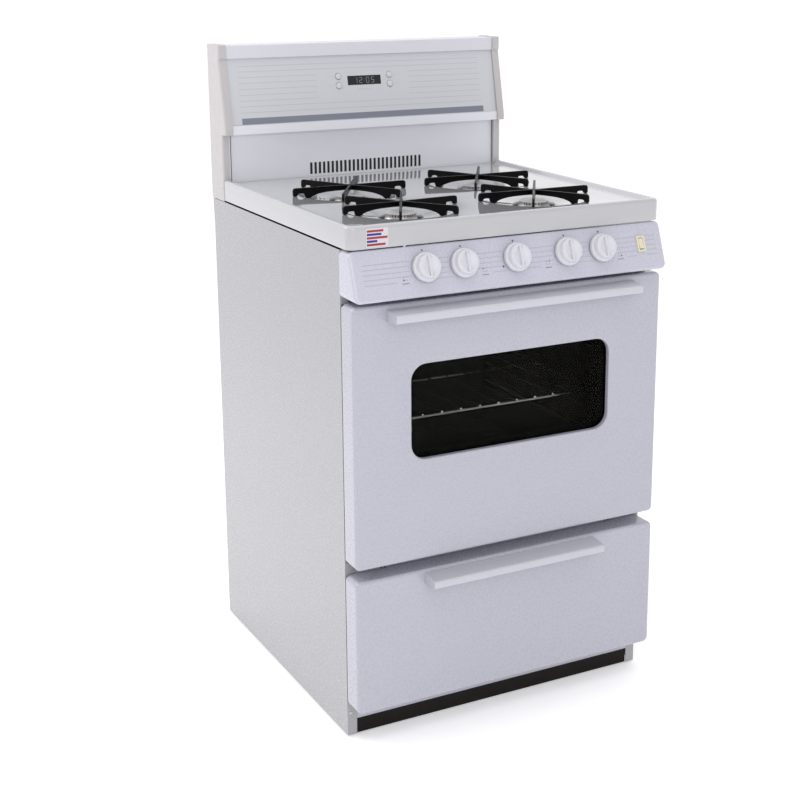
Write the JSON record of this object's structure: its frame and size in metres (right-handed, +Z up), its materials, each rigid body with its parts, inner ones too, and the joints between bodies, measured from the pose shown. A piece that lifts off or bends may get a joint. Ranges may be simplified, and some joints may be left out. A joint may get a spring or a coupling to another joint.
{
  "type": "freestanding gas range",
  "caption": "White freestanding gas range with burners, sloping control panel, windowed oven door, broiler drawer and a backguard with clock.",
  "frame": {"origin": "on the floor, under the middle of the whole range", "axes": "+X to the user's right, +Y from the front to the wall behind, +Z up"},
  "size_m": [0.61, 0.676, 1.167],
  "materials": {
    "white_enamel": "smooth gloss enamel on sheet steel",
    "porcelain": "high gloss white porcelain enamel",
    "black_porcelain": "high gloss black porcelain enamel",
    "oven_enamel": "dark speckled porcelain enamel",
    "galvanised": "galvanised sheet steel",
    "chrome_wire": "bright chrome plated wire",
    "zinc_steel": "zinc plated steel",
    "cast_aluminium": "cast and machined",
    "cap_enamel": "light grey satin enamel",
    "black_pipe": "black steel pipe",
    "valve_brass": "machined brass",
    "knob_plastic": "moulded white plastic",
    "handle_plastic": "moulded white plastic, light sheen",
    "cap_plastic": "moulded warm white plastic",
    "switch_plastic": "moulded cream plastic",
    "display_black": "gloss black lens",
    "clock_case": "moulded black plastic",
    "guard_paint": "smooth grey-white enamel",
    "smoked_glass": "tempered, dark tinted",
    "clear_glass": "tempered, clear",
    "gasket_fibre": "woven glass fibre",
    "kick_black": "satin black paint",
    "foot_steel": "zinc plated steel",
    "lamp_glass": "clear lamp dome and holder"
  },
  "bodies": {
    "range": {"left_side_panel": "white_enamel", "right_side_panel": "white_enamel", "rear_panel": "galvanised", "front_frame": "white_enamel", "base_frame": "galvanised", "levelling_feet": "foot_steel", "kick_plate": "kick_black", "oven_cavity": "oven_enamel", "oven_floor": "oven_enamel", "oven_burner": "zinc_steel", "oven_lamp": "lamp_glass", "control_panel": "white_enamel", "gas_manifold": "black_pipe", "burner_valves": "valve_brass", "switch_bezel": "switch_plastic", "burner_heads": "cast_aluminium", "burner_caps": "cap_enamel", "burner_tubes": "zinc_steel", "hinge_brackets": "zinc_steel", "left_end_cap": "cap_plastic", "right_end_cap": "cap_plastic", "vent_wall": "guard_paint", "clock_panel": "guard_paint", "backguard_top_cap": "guard_paint", "backguard_rear_cover": "galvanised", "display_lens": "display_black", "clock_module": "clock_case", "drawer_rails": "zinc_steel"},
    "door": {"door_outer_panel": "white_enamel", "door_inner_panel": "oven_enamel", "door_outer_glass": "smoked_glass", "door_inner_glass": "clear_glass", "door_gasket": "gasket_fibre", "door_hinge_arms": "zinc_steel", "door_handle": "handle_plastic"},
    "drawer": {"drawer_front": "white_enamel", "drawer_box": "galvanised", "drawer_handle": "handle_plastic"},
    "rack": {"oven_rack": "chrome_wire"},
    "cooktop": {"cooktop": "porcelain"},
    "front_left_grate": {"front_left_grate": "black_porcelain"},
    "front_right_grate": {"front_right_grate": "black_porcelain"},
    "rear_left_grate": {"rear_left_grate": "black_porcelain"},
    "rear_right_grate": {"rear_right_grate": "black_porcelain"},
    "front_left_stem": {"front_left_valve_stem": "zinc_steel"},
    "front_left_knob": {"front_left_knob": "knob_plastic"},
    "rear_left_stem": {"rear_left_valve_stem": "zinc_steel"},
    "rear_left_knob": {"rear_left_knob": "knob_plastic"},
    "oven_stem": {"oven_valve_stem": "zinc_steel"},
    "oven_knob": {"oven_knob": "knob_plastic"},
    "rear_right_stem": {"rear_right_valve_stem": "zinc_steel"},
    "rear_right_knob": {"rear_right_knob": "knob_plastic"},
    "front_right_stem": {"front_right_valve_stem": "zinc_steel"},
    "front_right_knob": {"front_right_knob": "knob_plastic"},
    "rocker": {"light_switch_rocker": "switch_plastic"},
    "upper_left_button": {"upper_left_clock_button": "knob_plastic"},
    "lower_left_button": {"lower_left_clock_button": "knob_plastic"},
    "upper_right_button": {"upper_right_clock_button": "knob_plastic"},
    "lower_right_button": {"lower_right_clock_button": "knob_plastic"}
  },
  "joints": [
    {"name": "door_hinge", "type": "hinge", "parent": "range", "child": "door", "pos_m": [0, -0.277, 0.331], "axis": [1, 0, 0], "range_deg": [0, 90], "stiffness_Nm_per_rad": 8, "springref_deg": -14.32},
    {"name": "drawer_slide", "type": "slide", "parent": "range", "child": "drawer", "axis": [0, -1, 0], "range_m": [0, 0.35]},
    {"name": "rack_slide", "type": "slide", "parent": "range", "child": "rack", "axis": [0, -1, 0], "range_m": [0, 0.285]},
    {"name": "cooktop_lift", "type": "hinge", "parent": "range", "child": "cooktop", "pos_m": [0, 0.275, 0.9032], "axis": [-1, 0, 0], "range_deg": [0, 25]},
    {"name": "front_left_grate_lift", "type": "slide", "parent": "cooktop", "child": "front_left_grate", "axis": [0, 0, 1], "range_m": [0, 0.06]},
    {"name": "front_right_grate_lift", "type": "slide", "parent": "cooktop", "child": "front_right_grate", "axis": [0, 0, 1], "range_m": [0, 0.06]},
    {"name": "rear_left_grate_lift", "type": "slide", "parent": "cooktop", "child": "rear_left_grate", "axis": [0, 0, 1], "range_m": [0, 0.06]},
    {"name": "rear_right_grate_lift", "type": "slide", "parent": "cooktop", "child": "rear_right_grate", "axis": [0, 0, 1], "range_m": [0, 0.06]},
    {"name": "front_left_valve_turn", "type": "hinge", "parent": "range", "child": "front_left_stem", "pos_m": [-0.1727, -0.30265, 0.8375], "axis": [0, -0.9389, 0.3443], "range_deg": [0, 230]},
    {"name": "front_left_knob_push", "type": "slide", "parent": "front_left_stem", "child": "front_left_knob", "axis": [0, 0.9389, -0.3443], "range_m": [0, 0.003], "stiffness_N_per_m": 400, "springref_m": -0.002},
    {"name": "rear_left_valve_turn", "type": "hinge", "parent": "range", "child": "rear_left_stem", "pos_m": [-0.1015, -0.30265, 0.8375], "axis": [0, -0.9389, 0.3443], "range_deg": [0, 230]},
    {"name": "rear_left_knob_push", "type": "slide", "parent": "rear_left_stem", "child": "rear_left_knob", "axis": [0, 0.9389, -0.3443], "range_m": [0, 0.003], "stiffness_N_per_m": 400, "springref_m": -0.002},
    {"name": "oven_valve_turn", "type": "hinge", "parent": "range", "child": "oven_stem", "pos_m": [0, -0.30265, 0.8375], "axis": [0, -0.9389, 0.3443], "range_deg": [0, 300]},
    {"name": "oven_knob_push", "type": "slide", "parent": "oven_stem", "child": "oven_knob", "axis": [0, 0.9389, -0.3443], "range_m": [0, 0.003], "stiffness_N_per_m": 400, "springref_m": -0.002},
    {"name": "rear_right_valve_turn", "type": "hinge", "parent": "range", "child": "rear_right_stem", "pos_m": [0.1015, -0.30265, 0.8375], "axis": [0, -0.9389, 0.3443], "range_deg": [0, 230]},
    {"name": "rear_right_knob_push", "type": "slide", "parent": "rear_right_stem", "child": "rear_right_knob", "axis": [0, 0.9389, -0.3443], "range_m": [0, 0.003], "stiffness_N_per_m": 400, "springref_m": -0.002},
    {"name": "front_right_valve_turn", "type": "hinge", "parent": "range", "child": "front_right_stem", "pos_m": [0.1727, -0.30265, 0.8375], "axis": [0, -0.9389, 0.3443], "range_deg": [0, 230]},
    {"name": "front_right_knob_push", "type": "slide", "parent": "front_right_stem", "child": "front_right_knob", "axis": [0, 0.9389, -0.3443], "range_m": [0, 0.003], "stiffness_N_per_m": 400, "springref_m": -0.002},
    {"name": "light_switch_rock", "type": "hinge", "parent": "range", "child": "rocker", "pos_m": [0.257, -0.30265, 0.8375], "axis": [1, 0, 0], "range_deg": [0, 12]},
    {"name": "upper_left_button_push", "type": "slide", "parent": "range", "child": "upper_left_button", "axis": [0, 0.9818, -0.19], "range_m": [0, 0.0015], "stiffness_N_per_m": 300, "springref_m": -0.001},
    {"name": "lower_left_button_push", "type": "slide", "parent": "range", "child": "lower_left_button", "axis": [0, 0.9818, -0.19], "range_m": [0, 0.0015], "stiffness_N_per_m": 300, "springref_m": -0.001},
    {"name": "upper_right_button_push", "type": "slide", "parent": "range", "child": "upper_right_button", "axis": [0, 0.9818, -0.19], "range_m": [0, 0.0015], "stiffness_N_per_m": 300, "springref_m": -0.001},
    {"name": "lower_right_button_push", "type": "slide", "parent": "range", "child": "lower_right_button", "axis": [0, 0.9818, -0.19], "range_m": [0, 0.0015], "stiffness_N_per_m": 300, "springref_m": -0.001}
  ],
  "couplings": [
    {"joint": "rack_slide", "follows": "door_hinge", "m_per_rad": 0.18}
  ]
}
